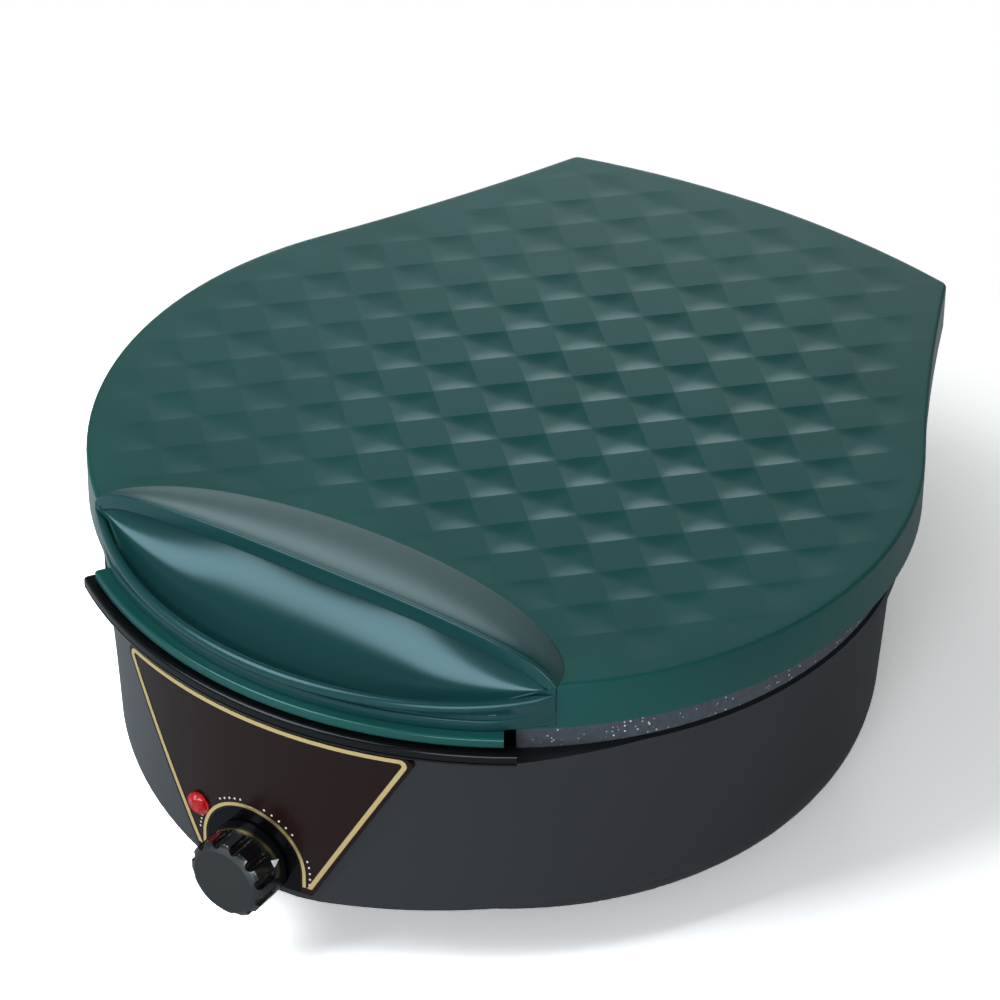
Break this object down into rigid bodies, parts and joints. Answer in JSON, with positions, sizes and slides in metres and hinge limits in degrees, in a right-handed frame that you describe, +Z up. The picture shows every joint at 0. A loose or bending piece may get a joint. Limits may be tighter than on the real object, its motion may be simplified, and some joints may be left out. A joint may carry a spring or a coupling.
{
  "type": "double-sided electric baking pan",
  "caption": "Round countertop cooker that heats from below and above, with a floating hinged lid, a finger-pocket handle and a dial on its front panel.",
  "frame": {"origin": "centre of the bounding box's footprint, on the plane that the rubber feet stand on", "axes": "+Z up, -Y to the front where the handle and dial are, +X to the right seen from the front"},
  "size_m": [0.33, 0.3986, 0.154],
  "materials": {
    "green_cover": "satin painted, dark green",
    "green_handle": "satin painted, dark green",
    "black_frame": "fine matt texture",
    "shell_black": "satin moulded",
    "cover_black": "matt moulded",
    "cast_coated": "speckled non-stick coating",
    "heater_steel": "drawn tube, heat tinted",
    "aluminised": "bright sheet",
    "plated_steel": "zinc plated",
    "bright_rod": "ground",
    "nylon": "natural nylon",
    "rubber": "moulded rubber",
    "phenolic": "moulded phenolic",
    "terminal_white": "glazed ceramic white",
    "panel_brown": "gloss dark brown",
    "gold_line": "hot-stamped gold",
    "dial_black": "high gloss black",
    "knob_black": "gloss flutes, satin face",
    "mark_white": "printed white",
    "lens_red": "tinted clear lens",
    "lamp_glass": "clear",
    "lead_jacket": "braided silicone",
    "cutout_metal": "pressed"
  },
  "bodies": {
    "base": {"base_shell": "shell_black", "bottom_cover": "cover_black", "rubber_feet": "rubber", "bottom_screws": "plated_steel", "lower_pan": "cast_coated", "lower_element": "heater_steel", "lower_reflector": "aluminised", "lower_cutout": "cutout_metal", "tie_rods": "plated_steel", "guide_rods": "bright_rod", "lift_stops": "nylon", "rear_cover": "cover_black", "rear_cover_screws": "plated_steel", "cord_grommet": "rubber", "terminal_block": "terminal_white", "base_leads": "lead_jacket", "control_panel": "panel_brown", "panel_trim": "gold_line", "dial_plate": "dial_black", "indicator_lens": "lens_red", "indicator_lamp": "lamp_glass", "thermostat": "phenolic", "thermostat_bracket": "plated_steel"},
    "hinge_lift": {"hinge_carriage": "plated_steel", "hinge_pin": "bright_rod", "pin_clips": "plated_steel", "carriage_bushes": "nylon"},
    "lid": {"lid_cover": "green_cover", "handle_insert": "green_handle", "lid_frame": "black_frame", "upper_plate": "cast_coated", "upper_element": "heater_steel", "upper_reflector": "aluminised", "upper_cutout": "cutout_metal", "lid_bracket": "plated_steel", "lid_screws": "plated_steel", "plate_screws": "plated_steel", "bracket_screws": "plated_steel"},
    "dial": {"control_knob": "knob_black", "knob_pointer": "mark_white", "thermostat_spindle": "plated_steel"}
  },
  "joints": [
    {"name": "lid_lift", "type": "slide", "parent": "base", "child": "hinge_lift", "axis": [0, 0, 1], "range_m": [0, 0.025]},
    {"name": "lid_hinge", "type": "hinge", "parent": "hinge_lift", "child": "lid", "pos_m": [0, 0.16785, 0.11], "axis": [-1, 0, 0], "range_deg": [0, 100]},
    {"name": "dial_turn", "type": "hinge", "parent": "base", "child": "dial", "pos_m": [0, -0.18615, 0.0435], "axis": [0, 1, 0], "range_deg": [-170, 50]}
  ]
}
